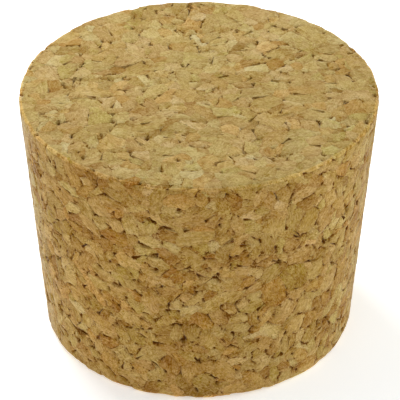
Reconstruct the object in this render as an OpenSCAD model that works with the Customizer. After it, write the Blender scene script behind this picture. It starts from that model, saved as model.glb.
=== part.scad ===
// Tapered cork stopper, pressed from cork grains and ground to shape in one piece.
// It stands on its narrow face, with the origin at that face's centre and +Z along its axis.

/* [Body] */
// Diameter of the wide end, where its face and the wall would meet
wide_d = 51; // [20:0.5:100]
// Diameter of the narrow end, where its face and the wall would meet
narrow_d = 45; // [15:0.5:95]
// Height from the narrow face to the wide face
height = 38; // [15:0.5:80]

/* [Rims] */
// Rounding of the rim at the wide end
wide_rim_r = 0.6; // [0.2:0.1:4]
// Rounding of the rim at the narrow end
narrow_rim_r = 0.8; // [0.2:0.1:4]
// Least width of the band beside each rounding that has no crevices
rim_clear = 0.6; // [0.2:0.1:2]

/* [Crevices between grains] */
// Distance from one main crevice to the next
crevice_spacing = 4.4; // [4:0.1:8]
// Length of a crevice of usual size
crevice_l = 2; // [1:0.1:2.5]
// Depth of its deep end, from which its floor rises to the surface
crevice_depth = 0.45; // [0.2:0.05:0.6]

/* [Hidden] */
$fn = 96;
cork_colour = [0.71, 0.59, 0.36];
wide_r = wide_d / 2;
narrow_r = narrow_d / 2;
// Lean of the wall from the axis, and length of the wall between its sharp corners
taper = atan2(wide_r - narrow_r, height);
wall_l = height / cos(taper);
// Distance along face and wall from each sharp corner to where its rounding starts
wide_setback = wide_rim_r / tan((90 - taper) / 2);
narrow_setback = narrow_rim_r / tan((90 + taper) / 2);
// A crevice is the print of a three-sided wedge, which dips by this angle and stands clear of the surface
crevice_dip = atan2(crevice_depth, crevice_l);
wedge_r = 2 * crevice_depth;
wedge_l = 2 * crevice_l;
// Smallest and largest crevice against the usual size, and how far they stray from even spacing
crevice_sizes = [0.6, 1.2];
crevice_stray = crevice_l / 3;
// Distance from each rounding to the nearest even place of a crevice
rim_band = rim_clear + crevice_stray + crevice_sizes[1] * crevice_l / 2;
// Even places at the middle of each face that stay without a crevice
clear_places = 2;
// Turn from one crevice to the next that spreads them evenly
golden_turn = 180 * (3 - sqrt(5));
// Seeds of the chance in the crevices' turns, sizes and strays
wide_face_seed = 11;
narrow_face_seed = 21;
wall_seed = 31;

// Point of the half section at a distance up the wall from its narrow corner
function up_wall(distance) = [narrow_r + distance * sin(taper), distance * cos(taper)];

// Point of the half section at a distance down the wall from its wide corner
function down_wall(distance) = [wide_r - distance * sin(taper), height - distance * cos(taper)];

// Half section: a tapered outline cut back to where the roundings start, with a circle in each rim
module half_section() {
    polygon([
        [0, 0],
        [narrow_r - narrow_setback, 0],
        up_wall(narrow_setback),
        down_wall(wide_setback),
        [wide_r - wide_setback, height],
        [0, height]
    ]);
    translate([narrow_r - narrow_setback, narrow_rim_r]) circle(r = narrow_rim_r);
    translate([wide_r - wide_setback, height - wide_rim_r]) circle(r = wide_rim_r);
}

// Wedge that leaves a crevice of usual size in the plane z = 0, centred and deepest towards +X
module wedge() {
    deep_x = wedge_l / 2 * cos(crevice_dip) - wedge_r * sin(crevice_dip);
    deep_z = -wedge_l / 2 * sin(crevice_dip) - wedge_r * cos(crevice_dip);
    translate([crevice_l / 2 - deep_x, 0, -crevice_depth - deep_z]) rotate([0, 90 + crevice_dip, 0])
        cylinder(h = wedge_l, r = wedge_r, $fn = 3, center = true);
}

// Wedges over a flat face of the given radius that faces +Z
module face_wedges(face_r, seed) {
    spread_r = face_r - rim_band;
    count = round(PI * pow(spread_r / crevice_spacing, 2));
    turns = rands(0, 360, count, seed);
    sizes = rands(crevice_sizes[0], crevice_sizes[1], count, seed + 1);
    strays = rands(-crevice_stray, crevice_stray, count, seed + 2);
    for (i = [clear_places : 1 : count - 1])
        rotate(i * golden_turn) translate([spread_r * sqrt((i + 0.5) / count), strays[i], 0])
            rotate(turns[i]) scale(sizes[i]) wedge();
}

// Wedges all over the wall
module wall_wedges(seed) {
    low = narrow_setback + rim_band;
    high = wall_l - wide_setback - rim_band;
    count = round(PI * (wide_r + narrow_r) * (high - low) / pow(crevice_spacing, 2));
    turns = rands(0, 360, count, seed);
    sizes = rands(crevice_sizes[0], crevice_sizes[1], count, seed + 1);
    strays = rands(-crevice_stray, crevice_stray, 2 * count, seed + 2);
    for (i = [0 : 1 : count - 1]) {
        place = up_wall(low + (high - low) * (i + 0.5) / count + strays[i]);
        rotate(i * golden_turn) translate([place[0], 0, place[1]]) rotate([0, 90 + taper, 0])
            translate([0, strays[count + i], 0]) rotate(turns[i]) scale(sizes[i]) wedge();
    }
}

// The one piece: its half section turned about the axis, with the crevices cut into it
module stopper() {
    color(cork_colour) difference() {
        rotate_extrude() half_section();
        translate([0, 0, height]) face_wedges(wide_r - wide_setback, wide_face_seed);
        mirror([0, 0, 1]) face_wedges(narrow_r - narrow_setback, narrow_face_seed);
        wall_wedges(wall_seed);
    }
}

stopper();
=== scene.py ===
# The looks of the cork stopper: the grains it is pressed from, the crevices and voids between them,
# their colours and finish, with a plain floor, soft light and a camera.

import math

import bmesh
import bpy
import numpy as np
from mathutils import Matrix, Vector, kdtree, noise


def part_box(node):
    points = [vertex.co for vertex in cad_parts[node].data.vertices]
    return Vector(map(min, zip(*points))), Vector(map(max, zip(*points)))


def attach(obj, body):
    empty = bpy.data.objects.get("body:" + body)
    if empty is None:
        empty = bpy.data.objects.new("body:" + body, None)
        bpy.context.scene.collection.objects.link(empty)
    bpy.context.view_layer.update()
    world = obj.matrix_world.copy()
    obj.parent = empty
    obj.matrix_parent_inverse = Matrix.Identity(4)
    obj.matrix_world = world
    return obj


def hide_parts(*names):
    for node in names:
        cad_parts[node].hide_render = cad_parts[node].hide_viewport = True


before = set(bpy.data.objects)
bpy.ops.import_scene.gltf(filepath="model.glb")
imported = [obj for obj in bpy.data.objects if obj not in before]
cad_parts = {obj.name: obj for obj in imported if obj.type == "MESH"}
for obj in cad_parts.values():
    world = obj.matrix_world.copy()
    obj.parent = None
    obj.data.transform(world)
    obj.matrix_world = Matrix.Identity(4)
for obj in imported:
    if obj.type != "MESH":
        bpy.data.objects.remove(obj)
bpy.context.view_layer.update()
plug_low, plug_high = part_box("stopper")

# Everything about the plug is in millimetres until its mesh is made
MM = 0.001
HEIGHT = (plug_high.z - plug_low.z) / MM
WIDE_R = 25.5
NARROW_R = 22.5
WIDE_RIM_R = 0.6
NARROW_RIM_R = 0.8

# Mesh before it is cut along the grains, a little inside the solid so that its facets don't show
VERTEX_SPACING = 0.6
RING_SPACING = VERTEX_SPACING * math.sqrt(3) / 2
SKIN_DEPTH = 0.02
CUT_MARGIN = 0.2
SHARP_ANGLE = math.radians(40)
LEAST_EDGE = 0.001

# Least values to divide by, and the farthest that a border counts
LEAST_RADIUS = 0.005
LEAST_SLOPE = 0.05
LEAST_LEAD = 1e-9
FARTHEST_BORDER = 3

# The solid's own crevices: how they are found, and how dark they are painted by depth and by place, as
# painted shade with dark residue
WELD_DISTANCE = 0.0001
LEAST_DENT = 0.005
DEEP_END = 0.15
DARK_DEPTHS = (0.1, 0.32)
DARK_REACH = (0.5, 1.3)
SHALLOW_VOID_SHADE = 0.4

# Grains: their sizes, packing and proportions
SEED = 41
GRAIN_COUNT = 4100
GRAIN_SIZE = 2.0
GRAIN_SIZE_SPREAD = 0.35
GRAIN_SIZE_RANGE = (0.8, 4.2)
GRAIN_SHELL = 1.9
GRAIN_PACKING = 0.62
GRAIN_STRETCH = (1.35, 1.1, 0.7)
GRAIN_STRETCH_SPREAD = 0.22
GRAIN_LEVELLING = 1.0
GRAIN_TRIES = 12
GRAIN_PULL = 0.8
NEAREST_GRAINS = 28

# The two grains beside each of the solid's crevices
PAIR_SPREAD = 0.42
PAIR_SUNK = (-0.2, 0.7)
FLAT_PAIRS = 0.6

# Tones of the grains, which vary less in large ones, and the bark that they were ground from
TONE_MIDDLE = 0.5
TONE_SPREAD = 0.17
TONE_EVENNESS = (0.8, 1.6)
BARK_SIZE = 200

# Waves in the borders between grains: size and reach
BORDER_WARPS = ((1.6, 0.16), (0.5, 0.08))

# Factors of the usual hash by a sine, which gives each pair of grains its own chance
PAIR_FACTORS = (12.9898, 78.233)
PAIR_SCALE = 43758.5453

# Crevices along the borders
SHUT_SHARE = 0.38
CREVICE_DEPTH = 0.28
CREVICE_WIDTH = 0.12
SHUT_WIDTH = 0.8
CREVICE_SHARPNESS = 1.5
SEAM_DEPTH = 0.012

# Grains that lie lower than their neighbours or are tilted
SUNKEN_SHARE = 0.14
SUNKEN_DEPTH = 0.2
LIFT_DEPTH = 0.02
GRAIN_TILT = 0.012
TILT_LIMIT = 0.03

# Pits where grains meet, and what makes one likely
PIT_COUNT = 1100
PIT_RADIUS = (0.2, 0.5)
PIT_DEPTH = (0.12, 0.5)
PIT_REACH = 0.2
PIT_SMALLNESS = 2
PIT_SHARPNESS = 1.5
SHUT_PIT_ODDS = 0.15
JUNCTION_PIT_ODDS = 4
FACE_PIT_ODDS = 0.6

# Roughness all over, and wear of the rims
ROUGHNESS_WAVE = 0.9
ROUGHNESS_DEPTH = 0.035
RIM_WEAR_DEPTH = 0.22
RIM_WEAR_START = 1.3
RIM_WEAR_FADE = 1.2

# Patches of smooth noise: their size, their mean and how far they vary from it
OPEN_PATCHES = (0.8, 0.3, 1.9)
MOST_OPEN = 1.4
# Patches in the painted shade and dark residue of the solid's crevices
RESIDUE_AND_SHADE_PATCHES = (2.6, 0.65, 1.7)
VOID_PATCHES = (0.9, 0.9, 1.2)
RIM_WEAR_PATCHES = (2.2, 0.2, 1.0)


def line_rings(start, end, facing):
    """Half section points along a straight stretch, without its end, and the way they face."""
    count = max(1, round(math.dist(start, end) / RING_SPACING))
    share = np.arange(count)[:, None] / count
    points = np.array(start) + share * (np.array(end) - np.array(start))
    return points, np.full(count, facing)


def arc_rings(centre, radius, facing_from, facing_to):
    """Half section points around a rounded rim, without its end, and the way they face."""
    count = max(2, round(radius * (facing_to - facing_from) / RING_SPACING))
    facing = facing_from + (facing_to - facing_from) * np.arange(count) / count
    points = np.array(centre) + radius * np.column_stack([np.cos(facing), np.sin(facing)])
    return points, facing


def half_section():
    """The plug's half section as rings, from the narrow face's centre to the wide face's centre."""
    taper = math.atan2(WIDE_R - NARROW_R, HEIGHT)
    quarter = math.pi / 2
    narrow_flat = NARROW_R - NARROW_RIM_R / math.tan((quarter + taper) / 2)
    wide_flat = WIDE_R - WIDE_RIM_R / math.tan((quarter - taper) / 2)
    narrow_centre = (narrow_flat, NARROW_RIM_R)
    wide_centre = (wide_flat, HEIGHT - WIDE_RIM_R)
    outward = (math.cos(taper), -math.sin(taper))
    wall_foot = [c + NARROW_RIM_R * o for c, o in zip(narrow_centre, outward)]
    wall_top = [c + WIDE_RIM_R * o for c, o in zip(wide_centre, outward)]
    stretches = [
        line_rings((0, 0), (narrow_flat, 0), -quarter),
        arc_rings(narrow_centre, NARROW_RIM_R, -quarter, -taper),
        line_rings(wall_foot, wall_top, -taper),
        arc_rings(wide_centre, WIDE_RIM_R, -taper, quarter),
        line_rings((wide_flat, HEIGHT), (0, HEIGHT), quarter),
    ]
    points = np.vstack([points for points, facing in stretches] + [[[0, HEIGHT]]])
    facing = np.concatenate([facing for points, facing in stretches] + [[quarter]])
    return points, facing


def stitch(first, second):
    """Triangles between two neighbouring rings, each given as its start, count and phase."""
    start_a, count_a, phase_a = first
    start_b, count_b, phase_b = second
    turn_a = (np.arange(count_a) + 1 + phase_a) / count_a
    turn_b = (np.arange(count_b) + 1 + phase_b) / count_b
    order = np.argsort(np.concatenate([turn_a, turn_b]), kind="stable")
    steps_a = order < count_a
    i = np.cumsum(steps_a) - steps_a
    j = np.cumsum(~steps_a) - ~steps_a
    this_a = start_a + i % count_a
    this_b = start_b + j % count_b
    ahead = np.where(steps_a, start_a + (i + 1) % count_a, start_b + (j + 1) % count_b)
    triangles = np.column_stack([this_a, ahead, this_b])
    whole = (this_a != ahead) & (ahead != this_b)
    return triangles[whole]


def turned_surface(points, facing, rng):
    """Vertices, outward normals and triangles of the smooth plug, from the rings of its half section."""
    counts = np.maximum(1, np.round(2 * np.pi * points[:, 0] / VERTEX_SPACING)).astype(int)
    starts = np.concatenate([[0], np.cumsum(counts)])
    phases = rng.random(len(counts))
    rings = list(zip(starts, counts, phases))
    ring = np.repeat(np.arange(len(counts)), counts)
    place = np.arange(starts[-1]) - starts[ring]
    angle = 2 * np.pi * (place + phases[ring]) / counts[ring]
    around = np.column_stack([np.cos(angle), np.sin(angle)])
    vertices = np.column_stack([around * points[ring, :1], points[ring, 1]])
    normals = np.column_stack([around * np.cos(facing[ring])[:, None], np.sin(facing[ring])])
    triangles = np.vstack([stitch(below, above) for below, above in zip(rings, rings[1:])])
    return vertices, normals, triangles


def search_tree(points):
    """A tree that finds the points near a place."""
    tree = kdtree.KDTree(len(points))
    for index, point in enumerate(points):
        tree.insert(point, index)
    tree.balance()
    return tree


def settle(points, rings, facing):
    """The outward normal of the smooth plug at each point, and the point's depth under its surface."""
    tree = search_tree(np.column_stack([rings, np.zeros(len(rings))]))
    radius = np.hypot(points[:, 0], points[:, 1])
    nearest = np.array([tree.find((r, z, 0))[1] for r, z in zip(radius, points[:, 2])])
    lean = facing[nearest]
    inward = rings[nearest] - np.column_stack([radius, points[:, 2]])
    depth = inward[:, 0] * np.cos(lean) + inward[:, 1] * np.sin(lean)
    around = points[:, :2] / np.maximum(radius, LEAST_RADIUS)[:, None]
    normals = np.column_stack([around * np.cos(lean)[:, None], np.sin(lean)])
    return normals, depth


def unit(vectors):
    """Vectors brought to length 1."""
    return vectors / np.linalg.norm(vectors, axis=-1, keepdims=True)


def noise_at(points, wave):
    """Smooth noise from about -1 to 1 at each point, with features of the given size."""
    return np.array([noise.noise(Vector(point)) for point in points / wave])


def noise_vectors_at(points, wave):
    """Smooth random vectors at each point, with features of the given size."""
    return np.array([noise.noise_vector(Vector(point)) for point in points / wave])


def patches_at(points, wave, mean, contrast, most=1):
    """Smooth patches from 0 to the most at each point."""
    return np.clip(mean + contrast * noise_at(points, wave), 0, most)


def welded_solid():
    """The solid's mesh, in millimetres and with the vertices that its faces share joined."""
    solid = bmesh.new()
    solid.from_mesh(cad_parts["stopper"].data)
    bmesh.ops.transform(solid, matrix=Matrix.Scale(1 / MM, 4), verts=solid.verts)
    bmesh.ops.remove_doubles(solid, verts=solid.verts, dist=WELD_DISTANCE)
    return solid


def far_end(deep_end):
    """The vertex where the floor of a crevice comes up to the surface."""
    neighbours = [edge.other_vert(deep_end) for edge in deep_end.link_edges]
    return max(neighbours, key=lambda vert: (vert.co - deep_end.co).length)


class Crevices:
    """The solid's crevices: their deep ends and middles, and the ways across and out of them."""

    def __init__(self, solid, rings, facing):
        depth = settle(np.array([vert.co for vert in solid.verts]), rings, facing)[1]
        deep_verts = [vert for vert, deep in zip(solid.verts, depth) if deep > DEEP_END]
        self.deep_ends = np.array([vert.co for vert in deep_verts])
        far_ends = np.array([far_end(vert).co for vert in deep_verts])
        self.middles = (self.deep_ends + far_ends) / 2
        self.normals = settle(self.middles, rings, facing)[0]
        rising = far_ends - self.deep_ends
        rising -= np.sum(rising * self.normals, axis=1, keepdims=True) * self.normals
        self.across = np.cross(self.normals, unit(rising))


def cut_by_solid(vertices, triangles, solid):
    """The skin's vertices and triangles once the solid's crevices are cut into it."""
    skin_mesh = bpy.data.meshes.new("skin")
    skin_mesh.from_pydata(vertices.tolist(), [], triangles.tolist())
    solid_mesh = bpy.data.meshes.new("solid")
    solid.to_mesh(solid_mesh)
    skin = bpy.data.objects.new("skin", skin_mesh)
    mould = bpy.data.objects.new("mould", solid_mesh)
    bpy.context.collection.objects.link(skin)
    bpy.context.collection.objects.link(mould)
    overlap = skin.modifiers.new("crevices", "BOOLEAN")
    overlap.operation = "INTERSECT"
    overlap.solver = "MANIFOLD"
    overlap.object = mould
    cut = bpy.data.meshes.new_from_object(skin.evaluated_get(bpy.context.evaluated_depsgraph_get()))
    cut.calc_loop_triangles()
    points = np.zeros(3 * len(cut.vertices))
    cut.vertices.foreach_get("co", points)
    corners = np.zeros(3 * len(cut.loop_triangles), dtype=np.int32)
    cut.loop_triangles.foreach_get("vertices", corners)
    for made in (skin, mould):
        bpy.data.objects.remove(made)
    for made in (skin_mesh, solid_mesh, cut):
        bpy.data.meshes.remove(made)
    return points.reshape(-1, 3), corners.reshape(-1, 3)


def random_sizes(count, rng):
    """Sizes of grains, many near the usual size and a few much larger or smaller."""
    sizes = GRAIN_SIZE * np.exp(GRAIN_SIZE_SPREAD * rng.normal(size=count))
    return np.clip(sizes, *GRAIN_SIZE_RANGE)


class Grains:
    """Cork grains packed through a shell on both sides of the plug's surface."""

    def __init__(self, vertices, normals, crevices, rng):
        self.place(vertices, normals, crevices, rng)
        count = len(self.centres)
        self.stretch(count, crevices, rng)
        evenness = np.clip(self.sizes / GRAIN_SIZE, *TONE_EVENNESS)
        self.tone = TONE_MIDDLE + TONE_SPREAD * rng.normal(size=count) / evenness
        self.tint = rng.random(count)
        self.bark_spot = BARK_SIZE * rng.random((count, 3))
        # Painted shading across each grain: lighter towards one random side
        self.lean = unit(rng.normal(size=(count, 3))) / self.sizes[:, None]
        sunken = rng.random(count) < SUNKEN_SHARE
        self.lift = -LIFT_DEPTH * rng.random(count) - SUNKEN_DEPTH * sunken * rng.random(count)
        self.slope = GRAIN_TILT * rng.normal(size=(count, 3))

    def place(self, vertices, normals, crevices, rng):
        """Puts a grain on each side of each crevice and drops others at random, large ones first."""
        pairs = len(crevices.middles)
        self.paired = 2 * pairs
        centres = np.zeros((GRAIN_COUNT, 3))
        kept = np.zeros(GRAIN_COUNT)
        kept[:self.paired] = np.repeat(random_sizes(pairs, rng), 2)
        apart = crevices.across * (PAIR_SPREAD * kept[:self.paired:2])[:, None]
        sunk = crevices.middles - crevices.normals * rng.uniform(*PAIR_SUNK, size=(pairs, 1))
        centres[:self.paired:2] = sunk - apart
        centres[1:self.paired:2] = sunk + apart
        placed = self.paired
        sizes = np.sort(random_sizes(GRAIN_COUNT - placed, rng))[::-1]
        for size in sizes:
            for attempt in range(GRAIN_TRIES):
                vertex = rng.integers(len(vertices))
                spot = vertices[vertex] + normals[vertex] * rng.uniform(-GRAIN_SHELL, GRAIN_SHELL)
                gaps = np.linalg.norm(centres[:placed] - spot, axis=1)
                if np.all(gaps > GRAIN_PACKING * (kept[:placed] + size) / 2):
                    centres[placed] = spot
                    kept[placed] = size
                    placed += 1
                    break
        self.centres = centres[:placed]
        self.sizes = kept[:placed]

    def stretch(self, count, crevices, rng):
        """Gives each grain its own proportions, with its thin way mostly upright or by its crevice."""
        thin = unit(rng.normal(size=(count, 3)) + GRAIN_LEVELLING * np.array([0, 0, 1]))
        wide = unit(np.cross(thin, rng.normal(size=(count, 3))))
        spread = np.exp(GRAIN_STRETCH_SPREAD * rng.normal(size=(count, 3)))
        flat = rng.random((len(crevices.middles), 1)) < FLAT_PAIRS
        thin[:self.paired] = np.repeat(np.where(flat, crevices.normals, crevices.across), 2, axis=0)
        wide[:self.paired] = np.repeat(np.where(flat, crevices.across, crevices.normals), 2, axis=0)
        spread[1:self.paired:2] = spread[:self.paired:2]
        long = np.cross(thin, wide)
        self.frames = np.stack([long, wide, thin], axis=1)
        self.metrics = self.frames / (np.array(GRAIN_STRETCH) * spread)[:, :, None]
        self.pull = (GRAIN_PULL * self.sizes / 2) ** 2

    def bark_places(self, points, ids):
        """Where each point was in the bark that its grain was ground from, fibres along X, growth along Z."""
        return self.bark_spot[ids] + np.einsum("nij,nj->ni", self.frames[ids], points - self.centres[ids])

    def offsets(self, points, ids):
        """Each point's place in its grain, measured against the grain's proportions."""
        return np.einsum("nij,nj->ni", self.metrics[ids], points - self.centres[ids])

    def painted_shade_side(self, points, ids):
        """How far each point lies towards its grain's lighter side, from about -1 to 1, for shading painted
        across the grain.
        """
        return np.sum(self.offsets(points, ids) * self.lean[ids], axis=1)

    def reach(self, points, ids):
        """Squared distance of each point from its grain's centre, less for a large grain."""
        return np.sum(self.offsets(points, ids) ** 2, axis=1) - self.pull[ids]

    def reach_slope(self, points, ids):
        """How that reach grows from place to place."""
        return 2 * np.einsum("nij,ni->nj", self.metrics[ids], self.offsets(points, ids))

    def nearest_two(self, points):
        """The grain that holds each point, and the runner-up."""
        tree = search_tree(self.centres)
        found = [[hit[1] for hit in tree.find_n(point, NEAREST_GRAINS)] for point in points]
        candidates = np.array(found)
        reaches = np.column_stack([self.reach(points, ids) for ids in candidates.T])
        order = np.argsort(reaches, axis=1)[:, :2]
        rows = np.arange(len(points))
        return candidates[rows, order[:, 0]], candidates[rows, order[:, 1]]


def pair_random(first, second):
    """A fixed random number from 0 to 1 for each pair of neighbouring grains."""
    low = np.minimum(first, second)
    high = np.maximum(first, second)
    wave = np.sin(low * PAIR_FACTORS[0] + high * PAIR_FACTORS[1])
    return np.modf(np.abs(wave) * PAIR_SCALE)[0]


class CutSurface:
    """The plug's surface with its triangles cut along the borders between grains."""

    def __init__(self, vertices, normals, dents, triangles, grains):
        self.points = vertices
        self.normals = normals
        self.dents = dents
        warped = vertices.copy()
        for wave, reach in BORDER_WARPS:
            warped += reach * noise_vectors_at(vertices, wave)
        self.own, self.rival = grains.nearest_two(warped)
        self.border = self.border_distance(warped, grains)
        self.on_border = np.zeros(len(vertices), bool)
        self.junction = np.zeros(len(vertices), bool)
        self.cut(warped, triangles, grains)

    def border_distance(self, warped, grains):
        """Distance along the surface from each vertex to its grain's nearest border."""
        lead = grains.reach(warped, self.rival) - grains.reach(warped, self.own)
        slope = grains.reach_slope(warped, self.rival) - grains.reach_slope(warped, self.own)
        slope -= np.sum(slope * self.normals, axis=1, keepdims=True) * self.normals
        steepness = np.maximum(np.linalg.norm(slope, axis=1), LEAST_SLOPE)
        return np.minimum(lead / steepness, FARTHEST_BORDER)

    def add(self, points, normals, dents, own, rival, junction):
        """Appends vertices on borders and returns the index of the first."""
        first = len(self.points)
        self.points = np.vstack([self.points, points])
        self.normals = np.vstack([self.normals, unit(normals)])
        self.dents = np.concatenate([self.dents, dents])
        self.own = np.concatenate([self.own, own])
        self.rival = np.concatenate([self.rival, rival])
        self.border = np.concatenate([self.border, np.zeros(len(points))])
        self.on_border = np.concatenate([self.on_border, np.ones(len(points), bool)])
        self.junction = np.concatenate([self.junction, np.full(len(points), junction)])
        return first

    def cut(self, warped, triangles, grains):
        """Splits the triangles that hold more than one grain."""
        labels = self.own[triangles]
        edges = np.sort(np.stack([triangles, np.roll(triangles, -1, axis=1)], axis=2), axis=2)
        crossed = labels != np.roll(labels, -1, axis=1)
        keys, slots = np.unique(edges[crossed], axis=0, return_inverse=True)
        ends_a, ends_b = keys.T
        own_a, own_b = self.own[ends_a], self.own[ends_b]
        lead_a = grains.reach(warped[ends_a], own_b) - grains.reach(warped[ends_a], own_a)
        lead_b = grains.reach(warped[ends_b], own_a) - grains.reach(warped[ends_b], own_b)
        share = np.clip(lead_a / np.maximum(lead_a + lead_b, LEAST_LEAD), CUT_MARGIN, 1 - CUT_MARGIN)
        dents = self.dents[ends_a] * (1 - share) + self.dents[ends_b] * share
        share = share[:, None]
        points = self.points[ends_a] * (1 - share) + self.points[ends_b] * share
        normals = self.normals[ends_a] * (1 - share) + self.normals[ends_b] * share
        first_cut = self.add(points, normals, dents, own_a, own_b, False)
        middles = np.full(triangles.shape, -1)
        middles[crossed] = first_cut + slots.reshape(-1)

        crossings = crossed.sum(axis=1)
        whole = triangles[crossings == 0]
        pairs, pair_grains = self.split_in_two(triangles, middles, labels, crossings == 2)
        threes, three_grains = self.split_in_three(triangles, middles, labels, crossings == 3)
        self.triangles = np.vstack([whole, pairs, threes])
        self.face_grain = np.concatenate([labels[crossings == 0, 0], pair_grains, three_grains])

    def split_in_two(self, triangles, middles, labels, chosen):
        """Cuts off the one corner that lies in another grain."""
        corners, middles, labels = triangles[chosen], middles[chosen], labels[chosen]
        odd = np.where(middles[:, 0] < 0, 2, np.where(middles[:, 1] < 0, 0, 1))
        rows = np.arange(len(corners))
        tip, left, right = (corners[rows, (odd + turn) % 3] for turn in range(3))
        to_left = middles[rows, odd]
        to_right = middles[rows, (odd + 2) % 3]
        made = [(tip, to_left, to_right), (to_left, left, right), (to_left, right, to_right)]
        made_grains = [labels[rows, odd], self.own[left], self.own[left]]
        return np.vstack([np.column_stack(piece) for piece in made]), np.concatenate(made_grains)

    def split_in_three(self, triangles, middles, labels, chosen):
        """Cuts a triangle with a corner in each of three grains, around a new middle vertex."""
        corners, middles, labels = triangles[chosen], middles[chosen], labels[chosen]
        points = self.points[middles].mean(axis=1)
        normals = self.normals[middles].mean(axis=1)
        dents = self.dents[middles].mean(axis=1)
        first = self.add(points, normals, dents, labels[:, 0], labels[:, 1], True)
        centre = first + np.arange(len(corners))
        made = []
        made_grains = []
        for corner in range(3):
            after = middles[:, corner]
            before = middles[:, corner - 1]
            made.append(np.column_stack([corners[:, corner], after, centre]))
            made.append(np.column_stack([corners[:, corner], centre, before]))
            made_grains += [labels[:, corner], labels[:, corner]]
        return np.vstack(made), np.concatenate(made_grains)


def deep_end_nearness(surface, crevices):
    """1 by the deep ends of the solid's crevices, falling to 0 towards their shallow ends."""
    tree = search_tree(crevices.deep_ends)
    away = np.array([tree.find(point)[2] for point in surface.points])
    near, far = DARK_REACH
    return np.clip((far - away) / (far - near), 0, 1)


def crevice_gap(surface, grains, nearness):
    """How open the nearest border is at each vertex, from 0 where it is shut to 1."""
    gap = np.clip((pair_random(surface.own, surface.rival) - SHUT_SHARE) / (1 - SHUT_SHARE), 0, 1)
    low = np.minimum(surface.own, surface.rival)
    beside_crevice = (low % 2 == 0) & (low < grains.paired) & (surface.own + surface.rival == 2 * low + 1)
    gap[beside_crevice] = np.maximum(gap, nearness)[beside_crevice]
    return np.clip(gap * patches_at(surface.points, *OPEN_PATCHES, MOST_OPEN), 0, 1)


def void_painted_shade(surface, nearness):
    """Painted shade in the solid's crevices, with some dark residue: darker from their edges to their floors
    and towards their deep ends.
    """
    in_void = (surface.dents[surface.triangles] > LEAST_DENT).any(axis=1)
    darkness = np.zeros(len(surface.points))
    edges_and_floors = surface.triangles[in_void]
    low, high = DARK_DEPTHS
    deepest = surface.dents[edges_and_floors].max(axis=1, keepdims=True)
    deep = np.clip((deepest - low) / (high - low), 0, 1)
    dark = SHALLOW_VOID_SHADE + (1 - SHALLOW_VOID_SHADE) * deep
    np.maximum.at(darkness, edges_and_floors, np.repeat(dark, 3, axis=1))
    residue_and_shade = patches_at(surface.points, *RESIDUE_AND_SHADE_PATCHES)
    return darkness * nearness * residue_and_shade * patches_at(surface.points, *VOID_PATCHES)


def sink_pits(surface, gap, rng):
    """Depth of the small voids where grains meet, and the shade to paint in them, darkest at their middles.
    """
    depth = np.zeros(len(surface.points))
    shade = np.zeros(len(surface.points))
    tree = search_tree(surface.points)
    wall = 1 - np.abs(surface.normals[:, 2])
    meeting = np.where(surface.junction, JUNCTION_PIT_ODDS, 1)
    odds = surface.on_border * (SHUT_PIT_ODDS + gap) * meeting * (FACE_PIT_ODDS + wall)
    centres = rng.choice(len(surface.points), PIT_COUNT, replace=False, p=odds / odds.sum())
    for centre in centres:
        size = rng.random() ** PIT_SMALLNESS
        radius = PIT_RADIUS[0] + (PIT_RADIUS[1] - PIT_RADIUS[0]) * size
        full_depth = PIT_DEPTH[0] + (PIT_DEPTH[1] - PIT_DEPTH[0]) * size
        for point, index, away in tree.find_range(surface.points[centre], radius):
            off_border = surface.border[index] / PIT_REACH
            bowl = max(0, 1 - (away / radius) ** 2 - off_border ** 2) ** PIT_SHARPNESS
            depth[index] = max(depth[index], full_depth * bowl)
            shade[index] = max(shade[index], bowl)
    return depth, shade


def rim_nearness(points):
    """1 on the rounded rims, falling to 0 a little away from them."""
    radius = np.hypot(points[:, 0], points[:, 1])
    wide = np.hypot(radius - WIDE_R, points[:, 2] - HEIGHT)
    narrow = np.hypot(radius - NARROW_R, points[:, 2])
    return np.clip(RIM_WEAR_START - np.minimum(wide, narrow) / RIM_WEAR_FADE, 0, 1)


def carve(surface, grains, crevices, rng):
    """Moves the vertices inwards to the grains' true surface, and returns how open it is and the shade to
    paint in its voids.
    """
    nearness = deep_end_nearness(surface, crevices)
    gap = crevice_gap(surface, grains, nearness)
    width = CREVICE_WIDTH * (SHUT_WIDTH + gap)
    falloff = np.exp(-(surface.border / width) ** CREVICE_SHARPNESS)
    lift = grains.lift[surface.own]
    slope = np.sum(grains.slope[surface.own] * (surface.points - grains.centres[surface.own]), axis=1)
    tilt = np.clip(slope, -TILT_LIMIT, TILT_LIMIT)
    shared = surface.on_border
    lift[shared] = (lift[shared] + grains.lift[surface.rival[shared]]) / 2
    pit_depth, pit_shade = sink_pits(surface, gap, rng)
    depth = (SEAM_DEPTH + CREVICE_DEPTH * gap) * falloff - lift + tilt
    depth += ROUGHNESS_DEPTH * (1 + noise_at(surface.points, ROUGHNESS_WAVE))
    wear = patches_at(surface.points, *RIM_WEAR_PATCHES)
    depth += RIM_WEAR_DEPTH * wear * rim_nearness(surface.points)
    depth = np.maximum(np.maximum(depth + pit_depth, 0), surface.dents)
    surface.points = surface.points - surface.normals * depth[:, None]
    return gap, np.maximum(pit_shade, void_painted_shade(surface, nearness))


def mark_sharp_edges(mesh, surface):
    """Shades the mesh smooth, apart from its steep edges and the borders between grains."""
    mesh.shade_smooth()
    mesh.set_sharp_from_angle(angle=SHARP_ANGLE)
    ends = np.zeros(2 * len(mesh.edges), dtype=np.int32)
    mesh.edges.foreach_get("vertices", ends)
    sharp = np.zeros(len(mesh.edges), dtype=bool)
    mesh.edges.foreach_get("use_edge_sharp", sharp)
    sharp |= surface.on_border[ends.reshape(-1, 2)].all(axis=1)
    mesh.edges.foreach_set("use_edge_sharp", sharp)


def store(mesh, name, domain, values):
    """Keeps numbers or vectors on a mesh for its material."""
    kind, field = ("FLOAT", "value") if values.ndim == 1 else ("FLOAT_VECTOR", "vector")
    attribute = mesh.attributes.new(name, kind, domain)
    attribute.data.foreach_set(field, values.astype(np.float32).ravel())


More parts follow.
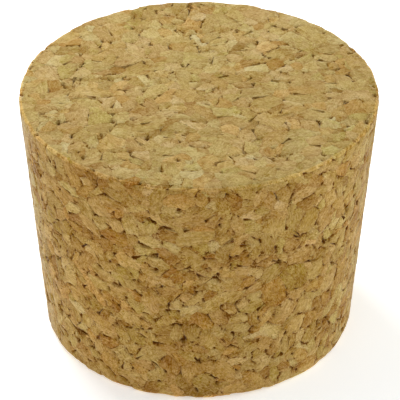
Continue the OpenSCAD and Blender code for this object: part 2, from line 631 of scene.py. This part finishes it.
def store_looks(mesh, surface, grains, gap, pit_shade):
    """Keeps all that the cork's material needs to know of its grains, borders and voids."""
    corners = surface.points[surface.triangles.ravel()]
    corner_grain = np.repeat(surface.face_grain, 3)
    store(mesh, "grain_tone", "FACE", grains.tone[surface.face_grain])
    store(mesh, "grain_tint", "FACE", grains.tint[surface.face_grain])
    store(mesh, "bark_mm", "CORNER", grains.bark_places(corners, corner_grain))
    store(mesh, "grain_shade_side", "CORNER", grains.painted_shade_side(corners, corner_grain))
    store(mesh, "border_mm", "POINT", surface.border)
    store(mesh, "gap", "POINT", gap)
    store(mesh, "pit_shade", "POINT", pit_shade)
    store(mesh, "wall", "POINT", np.hypot(surface.normals[:, 0], surface.normals[:, 1]))


def drop_spent_faces(mesh):
    """Takes out the faces that carving has shrunk to nothing, and leaves the mesh closed."""
    shape = bmesh.new()
    shape.from_mesh(mesh)
    bmesh.ops.dissolve_degenerate(shape, dist=LEAST_EDGE * MM, edges=shape.edges)
    bmesh.ops.triangulate(shape, faces=shape.faces)
    twins = {}
    for face in shape.faces:
        twins.setdefault(frozenset(face.verts), []).append(face)
    flaps = [face for same in twins.values() if len(same) > 1 for face in same]
    bmesh.ops.delete(shape, geom=flaps, context="FACES")
    shape.to_mesh(mesh)
    shape.free()


def make_stopper():
    """The plug with its grains, as one closed mesh."""
    noise.seed_set(SEED)
    rng = np.random.default_rng(SEED)
    rings, facing = half_section()
    vertices, normals, triangles = turned_surface(rings, facing, rng)
    solid = welded_solid()
    crevices = Crevices(solid, rings, facing)
    grains = Grains(vertices, normals, crevices, rng)
    vertices, triangles = cut_by_solid(vertices - SKIN_DEPTH * normals, triangles, solid)
    solid.free()
    normals, depth = settle(vertices, rings, facing)
    dents = np.where(depth > SKIN_DEPTH + LEAST_DENT, depth - SKIN_DEPTH, 0)
    smooth = vertices + normals * dents[:, None]
    surface = CutSurface(smooth, normals, dents, triangles, grains)
    gap, pit_shade = carve(surface, grains, crevices, rng)
    mesh = bpy.data.meshes.new("cork_stopper")
    mesh.from_pydata((surface.points * MM).tolist(), [], surface.triangles.tolist())
    mark_sharp_edges(mesh, surface)
    store_looks(mesh, surface, grains, gap, pit_shade)
    drop_spent_faces(mesh)
    stopper = bpy.data.objects.new("cork_stopper", mesh)
    bpy.context.collection.objects.link(stopper)
    return stopper


def linear(red, green, blue):
    """A colour given as the screen shows it, from 0 to 255, turned to linear light."""
    def one(level):
        share = level / 255
        return share / 12.92 if share <= 0.04045 else ((share + 0.055) / 1.055) ** 2.4
    return (one(red), one(green), one(blue), 1)


# Colours of the grains from their darkest to their lightest tone, and tints laid over them
GRAIN_COLOURS = [
    linear(159, 125, 66),
    linear(175, 145, 84),
    linear(188, 161, 100),
    linear(197, 173, 115),
    linear(206, 185, 134),
]
GRAIN_TINTS = [
    (0.94, 0.99, 0.87, 1),
    (0.97, 1, 1.1, 1),
    (0.98, 0.99, 0.95, 1),
    (0.99, 0.98, 1.02, 1),
    (1, 0.95, 1.06, 1),
    (1.01, 0.97, 0.92, 1),
    (1.03, 0.9, 0.83, 1),
]
WHITE = (1, 1, 1, 1)
# Painted shade and warm bounce light on the wall: darker and warmer than the flat faces
WALL_SHADE_TINT = (1.03, 0.915, 0.75, 1)

# Colours of the marks, those of the flat faces first where they differ from the wall's; the crevice and pit
# colours are painted shade with dark residue
# Brown of the flecks, also used for the shade painted beside the borders
FLECK_AND_SHADE_COLOUR = linear(129, 83, 23)
CREVICE_COLOURS = (linear(124, 86, 12), linear(113, 68, 9))
PIT_SHADE_COLOURS = (linear(116, 76, 0), linear(108, 59, 1))

# What full grit adds to a colour, and the darkest that it leaves
GRIT_COLOUR = (0.44, 0.36, 0.23)
DARKEST_GRIT = (0.03, 0.015, 0.004)

# Noise in the cork: waves in a millimetre, detail and roughness
MOTTLE = (0.6, 4.0, 0.62)
DRIFT = (0.9, 3.0, 0.6)
BREAKS = (3.0, 2.0, 0.6)
PATCHES = (1.1, 1.0, 0.5)
WAVING = (0.9, 2.0, 0.5)
STROKES = (2.0, 2.0, 0.5)
SPECKLE = (4.4, 3.0, 0.7)
CRUMBLING = (0.5, 2.0, 0.6)
BLOTCHES = (0.12, 2.0, 0.5)
ZONES = (0.17, 2.0, 0.5)
SPECKS = (2.9, 2.0, 0.6)
NOISE_MIDDLE = 0.5
PLAIN_DETAIL = 2.0

# Bands, slivers and crumbs in a millimetre, their proportions, and how the cells are crumpled
BANDS_PER_MM = 2.6
SLIVERS_PER_MM = 1.4
CRUMBS_PER_MM = 1.5
FIBRE_SHAPE = (0.45, 1.0, 1.0)
SPECK_SHAPE = (1.0, 1.0, 1.5)
GROWTH_WAY = (0.0, 0.0, 1.0)
CRUMPLES_PER_MM = 1.4
CRUMPLE_REACH = 0.9
CRUMBLY_RANGE = (0.46, 0.56)

# Sideways share of a normal over which a number goes from its value on the flat faces to the wall's
WALL_RANGE = (0.1, 0.9)

# How far the borders stand open on the flat faces and on the wall
OPENNESS = (0.75, 1.2)

# Shares in the lightness of a grain, with a factor and a shift for its own tone
TONE_SCALE = (0.95, -0.38)
MOTTLE_SHARE = 0.48
SLIVER_SHARE = 0.15
# Share of the shading painted across each grain
SHADE_SIDE_SHARE = 0.28
CRUMB_SHARE = 0.45
BLOTCH_SHARES = (0.6, 0.2)
TONE_CONTRASTS = (0.85, 1.17)

# Shares in the tint of a grain, with a factor and a shift for its own tint
TINT_SCALE = (0.95, -0.2)
DRIFT_SHARE = 0.45
ZONE_SHARE = 0.5

# Grit: speckles, bands, and the lines around slivers and crumbs
SPECKLE_RANGE = (0.3, 0.7)
SPECKLE_SHADES = (0.8, 1.18)
BAND_SHADE = 0.3
SPLIT_PATCHES = (0.45, 0.6)
SPLIT_SHADES = (1.0, 0.78)
SPLIT_WIDTH = 0.05
CRUMB_BREAKS = (0.46, 0.58)
CRUMB_LINE_SHADE = 0.4
CRUMB_LINE_WIDTH = 0.09
GRIT_CONTRASTS = (0.88, 1.05)

# Flecks, brown patches and cracks inside the grains
FLECK_RANGE = (0.58, 0.66)
FLECK_STRENGTH = 0.35
BROWN_RANGE = (0.58, 0.7)
BROWN_STRENGTH = 0.3
CRACK_PATCHES = (0.54, 0.62)
CRACK_STRENGTH = 0.6
CRACK_WIDTH = 0.025

# Brown shade painted beside the borders, with a factor and a shift for how open the border is
BORDER_SHADE_SCALE = (0.4, 0.08)
BORDER_SHADE_STRENGTHS = (0.55, 1.0)
BORDER_SHADE_BREAKS = (0.4, 0.6)
BORDER_SHADE_REACHES = (0.25, 0.65)

# Dark lines along the borders, painted shade in their crevices with dark residue: their width and its
# changes, painted highlight on the worn edges beside them, and darkness
LINE_SCALE = (0.14, 0.04)
LINE_BREAKS = (0.44, 0.57)
BREAK_WIDTHS = (0.12, 1.4)
LINE_PATCHES = (0.42, 0.56)
PATCH_WIDTHS = (0.3, 1.35)
LINE_RAGGEDNESS = 0.3
EDGE_HIGHLIGHT_RANGE = (1.0, 2.5)
EDGE_HIGHLIGHT = 0.2
LINE_RANGE = (0.3, 1.0)
DARK_OPENNESS = (0.02, 0.4)
LINE_STRENGTHS = (0.08, 1.0)

# Specks, which are stronger near the borders
SPECK_RANGE = (0.59, 0.67)
SPECK_REACH = 0.7
SPECK_STRENGTHS = (0.6, 0.85)
FAR_SPECK_STRENGTH = 0.3

# Painted shade with dark residue in pits and the deep ends of crevices
PIT_RAGGEDNESS = 0.9
PIT_RANGE = (0.35, 0.65)
PIT_STRENGTHS = (0.65, 0.95)

# Painted light on the rounded rims, which lifts the shade that falls there, by the sideways share of the
# normal
RIM_LIGHT_START = (0.05, 0.4)
RIM_LIGHT_END = (0.93, 0.99)
RIM_LIGHT = 0.32

# Fine relief and finish
BAND_RELIEF = 0.35
BUMP_STRENGTH = 0.55
BUMP_DEPTH = 0.12 * MM
MATT_MOTTLE = (0.3, 0.7)
MATT_ROUGHNESS = (0.72, 0.9)
SPECULAR_LEVEL = 0.05
SHEEN_WEIGHT = 0.27
SHEEN_TINT = (0.85, 1, 1, 1)
SHEEN_ROUGHNESS = 0.3


class Shader:
    """A material's node tree, with short ways to add nodes and link them."""

    def __init__(self, name):
        self.material = bpy.data.materials.new(name)
        self.material.use_nodes = True
        self.tree = self.material.node_tree
        self.sockets = self.tree.nodes["Principled BSDF"].inputs

    def feed(self, socket, value):
        """Links a socket to another one, or sets its value."""
        if isinstance(value, bpy.types.NodeSocket):
            self.tree.links.new(value, socket)
        else:
            socket.default_value = value

    def add(self, kind, settings, inputs):
        """A node with its settings, and its inputs by name or number."""
        node = self.tree.nodes.new(kind)
        for name, value in settings.items():
            setattr(node, name, value)
        for name, value in inputs.items():
            self.feed(node.inputs[name], value)
        return node

    def attribute(self, name, output="Fac"):
        """A number or vector kept on the mesh."""
        return self.add("ShaderNodeAttribute", {"attribute_name": name}, {}).outputs[output]

    def maths(self, operation, first, second=0.0, third=0.0):
        """One sum on numbers."""
        inputs = {0: first, 1: second, 2: third}
        return self.add("ShaderNodeMath", {"operation": operation}, inputs).outputs[0]

    def times(self, first, second):
        """The product of two numbers."""
        return self.maths("MULTIPLY", first, second)

    def plus(self, base, value, share):
        """A number with a share of another added."""
        return self.maths("MULTIPLY_ADD", value, share, base)

    def scaled(self, value, scale):
        """A number times the first part of a scale, plus its second part."""
        return self.maths("MULTIPLY_ADD", value, *scale)

    def centred(self, value):
        """Noise from 0 to 1, moved to lie about 0."""
        return self.maths("SUBTRACT", value, NOISE_MIDDLE)

    def vector(self, operation, first, second):
        """One sum on vectors, where the second may be a scale."""
        inputs = {0: first, "Scale" if operation == "SCALE" else 1: second}
        node = self.add("ShaderNodeVectorMath", {"operation": operation}, inputs)
        return node.outputs["Value" if operation == "DOT_PRODUCT" else "Vector"]

    def paler(self, colour, share):
        """A colour made lighter by a share of itself."""
        return self.vector("SCALE", colour, self.maths("ADD", share, 1.0))

    def span(self, value, from_low, from_high, to_low, to_high):
        """A number moved from one range to another, smoothly and without overshoot."""
        inputs = {
            "Value": value,
            "From Min": from_low,
            "From Max": from_high,
            "To Min": to_low,
            "To Max": to_high,
        }
        settings = {"interpolation_type": "SMOOTHSTEP"}
        return self.add("ShaderNodeMapRange", settings, inputs).outputs["Result"]

    def noise(self, place, scale, detail, roughness):
        """Smooth noise from 0 to 1."""
        inputs = {"Vector": place, "Scale": scale, "Detail": detail, "Roughness": roughness}
        return self.add("ShaderNodeTexNoise", {}, inputs).outputs["Fac"]

    def bands(self, along, scale):
        """Noise that changes one way only, as parallel bands."""
        inputs = {"W": along, "Scale": scale, "Detail": PLAIN_DETAIL}
        return self.add("ShaderNodeTexNoise", {"noise_dimensions": "1D"}, inputs).outputs["Fac"]

    def cells(self, place, scale):
        """Small crumpled cells: a random number for each, and the distance to its edge."""
        inputs = {"Vector": place, "Scale": CRUMPLES_PER_MM, "Detail": PLAIN_DETAIL}
        crumple = self.add("ShaderNodeTexNoise", {}, inputs).outputs["Color"]
        shift = self.vector("SCALE", crumple, CRUMPLE_REACH)
        inputs = {"Vector": self.vector("ADD", place, shift), "Scale": scale}
        cell = self.add("ShaderNodeTexVoronoi", {}, inputs)
        edge = self.add("ShaderNodeTexVoronoi", {"feature": "DISTANCE_TO_EDGE"}, inputs)
        return cell.outputs["Color"], edge.outputs["Distance"]

    def mix(self, share, first, second):
        """One colour blended into another."""
        inputs = {0: share, 6: first, 7: second}
        return self.add("ShaderNodeMix", {"data_type": "RGBA"}, inputs).outputs[2]

    def ramp(self, value, colours):
        """Colours spread evenly from 0 to 1."""
        node = self.add("ShaderNodeValToRGB", {}, {"Fac": value})
        elements = node.color_ramp.elements
        while len(elements) < len(colours):
            elements.new(1.0)
        for index, colour in enumerate(colours):
            elements[index].position = index / (len(colours) - 1)
            elements[index].color = colour
        return node.outputs["Color"]


class CorkShader(Shader):
    """Cork's own patterns, and the steps from its grains' colours to the marks on them."""

    def __init__(self):
        super().__init__("cork")
        local = self.add("ShaderNodeTexCoord", {}, {}).outputs["Object"]
        self.place = self.vector("SCALE", local, 1 / MM)
        self.bark = self.attribute("bark_mm", "Vector")
        self.border = self.attribute("border_mm")
        self.wall = self.attribute("wall")
        self.openness = self.times(self.attribute("gap"), self.by_wall(OPENNESS))
        # The dark colour of crevices, painted shade with dark residue; specks and cracks take it too
        self.crevice = self.mix(self.wall, *CREVICE_COLOURS)
        self.mottle = self.noise(self.bark, *MOTTLE)
        self.drift = self.noise(self.bark, *DRIFT)
        self.breaks = self.noise(self.place, *BREAKS)
        self.patches = self.noise(self.place, *PATCHES)
        fibre = self.vector("MULTIPLY", self.bark, FIBRE_SHAPE)
        self.strokes = self.noise(fibre, *STROKES)
        self.speckle = self.noise(fibre, *SPECKLE)
        self.sliver, self.sliver_edge = self.cells(fibre, SLIVERS_PER_MM)
        self.crumb, self.crumb_edge = self.cells(self.place, CRUMBS_PER_MM)
        self.crumbly = self.span(self.noise(self.place, *CRUMBLING), *CRUMBLY_RANGE, 0.0, 1.0)
        growth = self.vector("DOT_PRODUCT", self.bark, GROWTH_WAY)
        waving = self.maths("ADD", growth, self.noise(self.bark, *WAVING))
        self.growth_bands = self.bands(waving, BANDS_PER_MM)

    def by_wall(self, values):
        """A number that goes from its value on the flat faces to its value on the wall."""
        return self.span(self.wall, *WALL_RANGE, *values)

    def grain_level(self):
        """How light a place is, from 0 for the darkest of the grains' colours to 1 for the lightest."""
        level = self.scaled(self.attribute("grain_tone"), TONE_SCALE)
        level = self.plus(level, self.mottle, MOTTLE_SHARE)
        level = self.plus(level, self.sliver, SLIVER_SHARE)
        # Painted shading across the grain, lighter towards one side
        level = self.plus(level, self.attribute("grain_shade_side"), SHADE_SIDE_SHARE)
        blotches = self.centred(self.noise(self.place, *BLOTCHES))
        level = self.plus(level, blotches, self.by_wall(BLOTCH_SHARES))
        level = self.plus(level, self.times(self.centred(self.crumb), CRUMB_SHARE), self.crumbly)
        return self.plus(NOISE_MIDDLE, self.centred(level), self.by_wall(TONE_CONTRASTS))

    def grain_colour(self):
        """The grains' colours with their tints, and painted shade that makes the wall darker and warmer."""
        hue = self.scaled(self.attribute("grain_tint"), TINT_SCALE)
        hue = self.plus(hue, self.drift, DRIFT_SHARE)
        hue = self.plus(hue, self.centred(self.noise(self.place, *ZONES)), ZONE_SHARE)
        colour = self.ramp(self.grain_level(), GRAIN_COLOURS)
        colour = self.vector("MULTIPLY", colour, self.ramp(hue, GRAIN_TINTS))
        return self.vector("MULTIPLY", colour, self.mix(self.wall, WHITE, WALL_SHADE_TINT))

    def with_grit(self, colour):
        """Speckles and growth bands, and dark lines around slivers and crumbs."""
        shade = self.span(self.speckle, *SPECKLE_RANGE, *SPECKLE_SHADES)
        streaks = self.times(self.centred(self.growth_bands), BAND_SHADE)
        shade = self.times(shade, self.maths("ADD", streaks, 1.0))
        split = self.span(self.patches, *SPLIT_PATCHES, *SPLIT_SHADES)
        shade = self.times(shade, self.span(self.sliver_edge, 0.0, SPLIT_WIDTH, split, 1.0))
        between = self.times(self.crumbly, self.span(self.breaks, *CRUMB_BREAKS, 0.0, CRUMB_LINE_SHADE))
        lines = self.span(self.crumb_edge, 0.0, CRUMB_LINE_WIDTH, between, 0.0)
        shade = self.times(shade, self.maths("SUBTRACT", 1.0, lines))
        change = self.times(self.maths("SUBTRACT", shade, 1.0), self.by_wall(GRIT_CONTRASTS))
        colour = self.vector("ADD", colour, self.vector("SCALE", GRIT_COLOUR, change))
        return self.vector("MAXIMUM", colour, DARKEST_GRIT)

    def with_flecks(self, colour):
        """Brown flecks and patches in the grains, and thin cracks along their fibres."""
        flecks = self.span(self.strokes, *FLECK_RANGE, 0.0, FLECK_STRENGTH)
        colour = self.mix(flecks, colour, FLECK_AND_SHADE_COLOUR)
        brown = self.span(self.drift, *BROWN_RANGE, 0.0, BROWN_STRENGTH)
        colour = self.mix(brown, colour, FLECK_AND_SHADE_COLOUR)
        strength = self.span(self.patches, *CRACK_PATCHES, 0.0, CRACK_STRENGTH)
        off_crack = self.maths("ABSOLUTE", self.centred(self.strokes))
        return self.mix(self.span(off_crack, 0.0, CRACK_WIDTH, strength, 0.0), colour, self.crevice)

    def with_border_shade(self, colour):
        """Brown shade painted beside the borders between grains, stronger where they stand open."""
        border_shade = self.times(self.scaled(self.openness, BORDER_SHADE_SCALE), self.by_wall(BORDER_SHADE_STRENGTHS))
        reach = self.span(self.breaks, *BORDER_SHADE_BREAKS, *BORDER_SHADE_REACHES)
        return self.mix(self.span(self.border, 0.0, reach, border_shade, 0.0), colour, FLECK_AND_SHADE_COLOUR)

    def with_crevice_shade_lines(self, colour):
        """Broken dark lines along the open borders, painted shade in their crevices with dark residue, and a
        painted highlight on the worn edges beside them.
        """
        width = self.scaled(self.openness, LINE_SCALE)
        width = self.times(width, self.span(self.breaks, *LINE_BREAKS, *BREAK_WIDTHS))
        width = self.times(width, self.span(self.patches, *LINE_PATCHES, *PATCH_WIDTHS))
        ragged = self.plus(self.border, self.centred(self.speckle), LINE_RAGGEDNESS)
        off_line = self.maths("DIVIDE", ragged, width)
        # Painted highlight: paler cork on the worn edges just beside the line
        edge_highlight = self.span(off_line, *EDGE_HIGHLIGHT_RANGE, self.times(self.openness, EDGE_HIGHLIGHT), 0.0)
        colour = self.paler(colour, edge_highlight)
        # Painted shade with dark residue: the line itself
        nearness = self.span(off_line, *LINE_RANGE, 1.0, 0.0)
        strength = self.span(self.openness, *DARK_OPENNESS, *LINE_STRENGTHS)
        return self.mix(self.times(nearness, strength), colour, self.crevice)

    def with_specks(self, colour):
        """Small dark specks, stronger near the borders."""
        specks = self.noise(self.vector("MULTIPLY", self.place, SPECK_SHAPE), *SPECKS)
        strength = self.span(self.border, 0.0, SPECK_REACH, self.by_wall(SPECK_STRENGTHS), FAR_SPECK_STRENGTH)
        return self.mix(self.span(specks, *SPECK_RANGE, 0.0, strength), colour, self.crevice)

    def with_pit_shade(self, colour):
        """Painted shade with dark residue in pits and the deep ends of crevices, with ragged edges."""
        hollow = self.plus(self.attribute("pit_shade"), self.centred(self.speckle), PIT_RAGGEDNESS)
        share = self.span(hollow, *PIT_RANGE, 0.0, self.by_wall(PIT_STRENGTHS))
        return self.mix(share, colour, self.mix(self.wall, *PIT_SHADE_COLOURS))

    def with_rim_light(self, colour):
        """Painted light on the rounded rims, between the flat faces and the wall, which makes them paler."""
        off_face = self.span(self.wall, *RIM_LIGHT_START, 0.0, RIM_LIGHT)
        off_wall = self.span(self.wall, *RIM_LIGHT_END, 1.0, 0.0)
        return self.paler(colour, self.times(off_wall, off_face))

    def finish(self, colour):
        """Gives the material its colour, fine relief and a dry matt surface with a little sheen."""
        relief = self.plus(self.speckle, self.growth_bands, BAND_RELIEF)
        inputs = {"Strength": BUMP_STRENGTH, "Distance": BUMP_DEPTH, "Height": relief}
        bump = self.add("ShaderNodeBump", {}, inputs)
        self.feed(self.sockets["Base Color"], colour)
        self.feed(self.sockets["Roughness"], self.span(self.mottle, *MATT_MOTTLE, *MATT_ROUGHNESS))
        self.feed(self.sockets["Normal"], bump.outputs["Normal"])
        self.sockets["Specular IOR Level"].default_value = SPECULAR_LEVEL
        self.sockets["Sheen Weight"].default_value = SHEEN_WEIGHT
        self.sockets["Sheen Tint"].default_value = SHEEN_TINT
        self.sockets["Sheen Roughness"].default_value = SHEEN_ROUGHNESS


def cork_material():
    """Cork: grains of many tans with growth bands and flecks, painted shade on the wall, in crevices, pits
    and beside borders, painted light on the rims, and a dry matt surface.
    """
    cork = CorkShader()
    colour = cork.grain_colour()
    colour = cork.with_grit(colour)
    colour = cork.with_flecks(colour)
    colour = cork.with_border_shade(colour)
    colour = cork.with_crevice_shade_lines(colour)
    colour = cork.with_specks(colour)
    colour = cork.with_pit_shade(colour)
    colour = cork.with_rim_light(colour)
    cork.finish(colour)
    return cork.material


# Floor, light and camera, in metres
FLOOR_SIZE = 40.0
FLOOR_LEVEL = plug_low.z
FLOOR_COLOUR = (0.9, 0.9, 0.9, 1)
FLOOR_ROUGHNESS = 0.9
FLOOR_GLOW = 0.44
ROOM_LIGHT = 0.28
PLUG_CENTRE = Vector((0, 0, plug_high.z / 2))
PLAIN_LIGHT = (1, 1, 1)
SIDE_LIGHT = (0.85, 1, 1)
IMAGE_SIZE = 400
FOCAL_PIXELS = 2557
SENSOR_MM = 36
CAMERA_DISTANCE = 0.3708
CAMERA_ELEVATION = math.radians(34.03)
AIM_RIGHT = 0.000165
AIM_UP = 0.00008

# Soft lamps around the plug: name, place, size, power in watts and colour
LAMPS = [
    ("overhead", (-0.06, 0.12, 0.9), 0.9, 1.2, PLAIN_LIGHT),
    ("behind", (-0.1, 0.15, 0.2), 0.12, 0.47, PLAIN_LIGHT),
    ("front", (-0.1, -0.7, 0.5), 0.8, 0.85, PLAIN_LIGHT),
    ("left", (-0.8, 0.15, 0.3), 0.6, 1.6, SIDE_LIGHT),
    ("right", (0.8, 0.15, 0.3), 0.6, 4.1, SIDE_LIGHT),
]


def make_floor():
    """A plain pale floor."""
    half = FLOOR_SIZE / 2
    corners = [(-half, -half, FLOOR_LEVEL), (half, -half, FLOOR_LEVEL),
               (half, half, FLOOR_LEVEL), (-half, half, FLOOR_LEVEL)]
    mesh = bpy.data.meshes.new("floor")
    mesh.from_pydata(corners, [], [(0, 1, 2, 3)])
    shader = Shader("pale_floor")
    shader.sockets["Base Color"].default_value = FLOOR_COLOUR
    shader.sockets["Roughness"].default_value = FLOOR_ROUGHNESS
    shader.sockets["Emission Color"].default_value = WHITE
    shader.sockets["Emission Strength"].default_value = FLOOR_GLOW
    mesh.materials.append(shader.material)
    floor = bpy.data.objects.new("floor", mesh)
    bpy.context.collection.objects.link(floor)
    return floor


def look_at(thing, target):
    """Turns a light or camera towards a point."""
    thing.rotation_euler = (target - thing.location).to_track_quat("-Z", "Y").to_euler()


def make_softbox(name, location, size, power, colour):
    """A soft lamp that faces the plug."""
    lamp = bpy.data.lights.new(name, "AREA")
    lamp.size = size
    lamp.energy = power
    lamp.color = colour
    softbox = bpy.data.objects.new(name, lamp)
    softbox.location = location
    look_at(softbox, PLUG_CENTRE)
    bpy.context.collection.objects.link(softbox)


def make_light():
    """Soft studio light from above, behind, in front and both sides, in a white room."""
    for lamp in LAMPS:
        make_softbox(*lamp)
    world = bpy.data.worlds.new("white_room")
    world.use_nodes = True
    backdrop = world.node_tree.nodes["Background"]
    backdrop.inputs["Color"].default_value = WHITE
    backdrop.inputs["Strength"].default_value = ROOM_LIGHT
    bpy.context.scene.world = world
    bpy.context.scene.view_settings.view_transform = "Standard"


def make_camera():
    """The photograph's view: from the front and above, a little off the plug's centre."""
    lens = bpy.data.cameras.new("camera")
    lens.sensor_width = SENSOR_MM
    lens.lens = FOCAL_PIXELS / IMAGE_SIZE * SENSOR_MM
    camera = bpy.data.objects.new("camera", lens)
    away = Vector((0, -math.cos(CAMERA_ELEVATION), math.sin(CAMERA_ELEVATION)))
    up = Vector((0, math.sin(CAMERA_ELEVATION), math.cos(CAMERA_ELEVATION)))
    aim = PLUG_CENTRE + AIM_RIGHT * Vector((1, 0, 0)) + AIM_UP * up
    camera.location = aim + CAMERA_DISTANCE * away
    look_at(camera, aim)
    bpy.context.collection.objects.link(camera)
    bpy.context.scene.camera = camera


stopper = make_stopper()
stopper.data.materials.append(cork_material())
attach(stopper, "root")
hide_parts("stopper")
make_floor()
make_light()
make_camera()
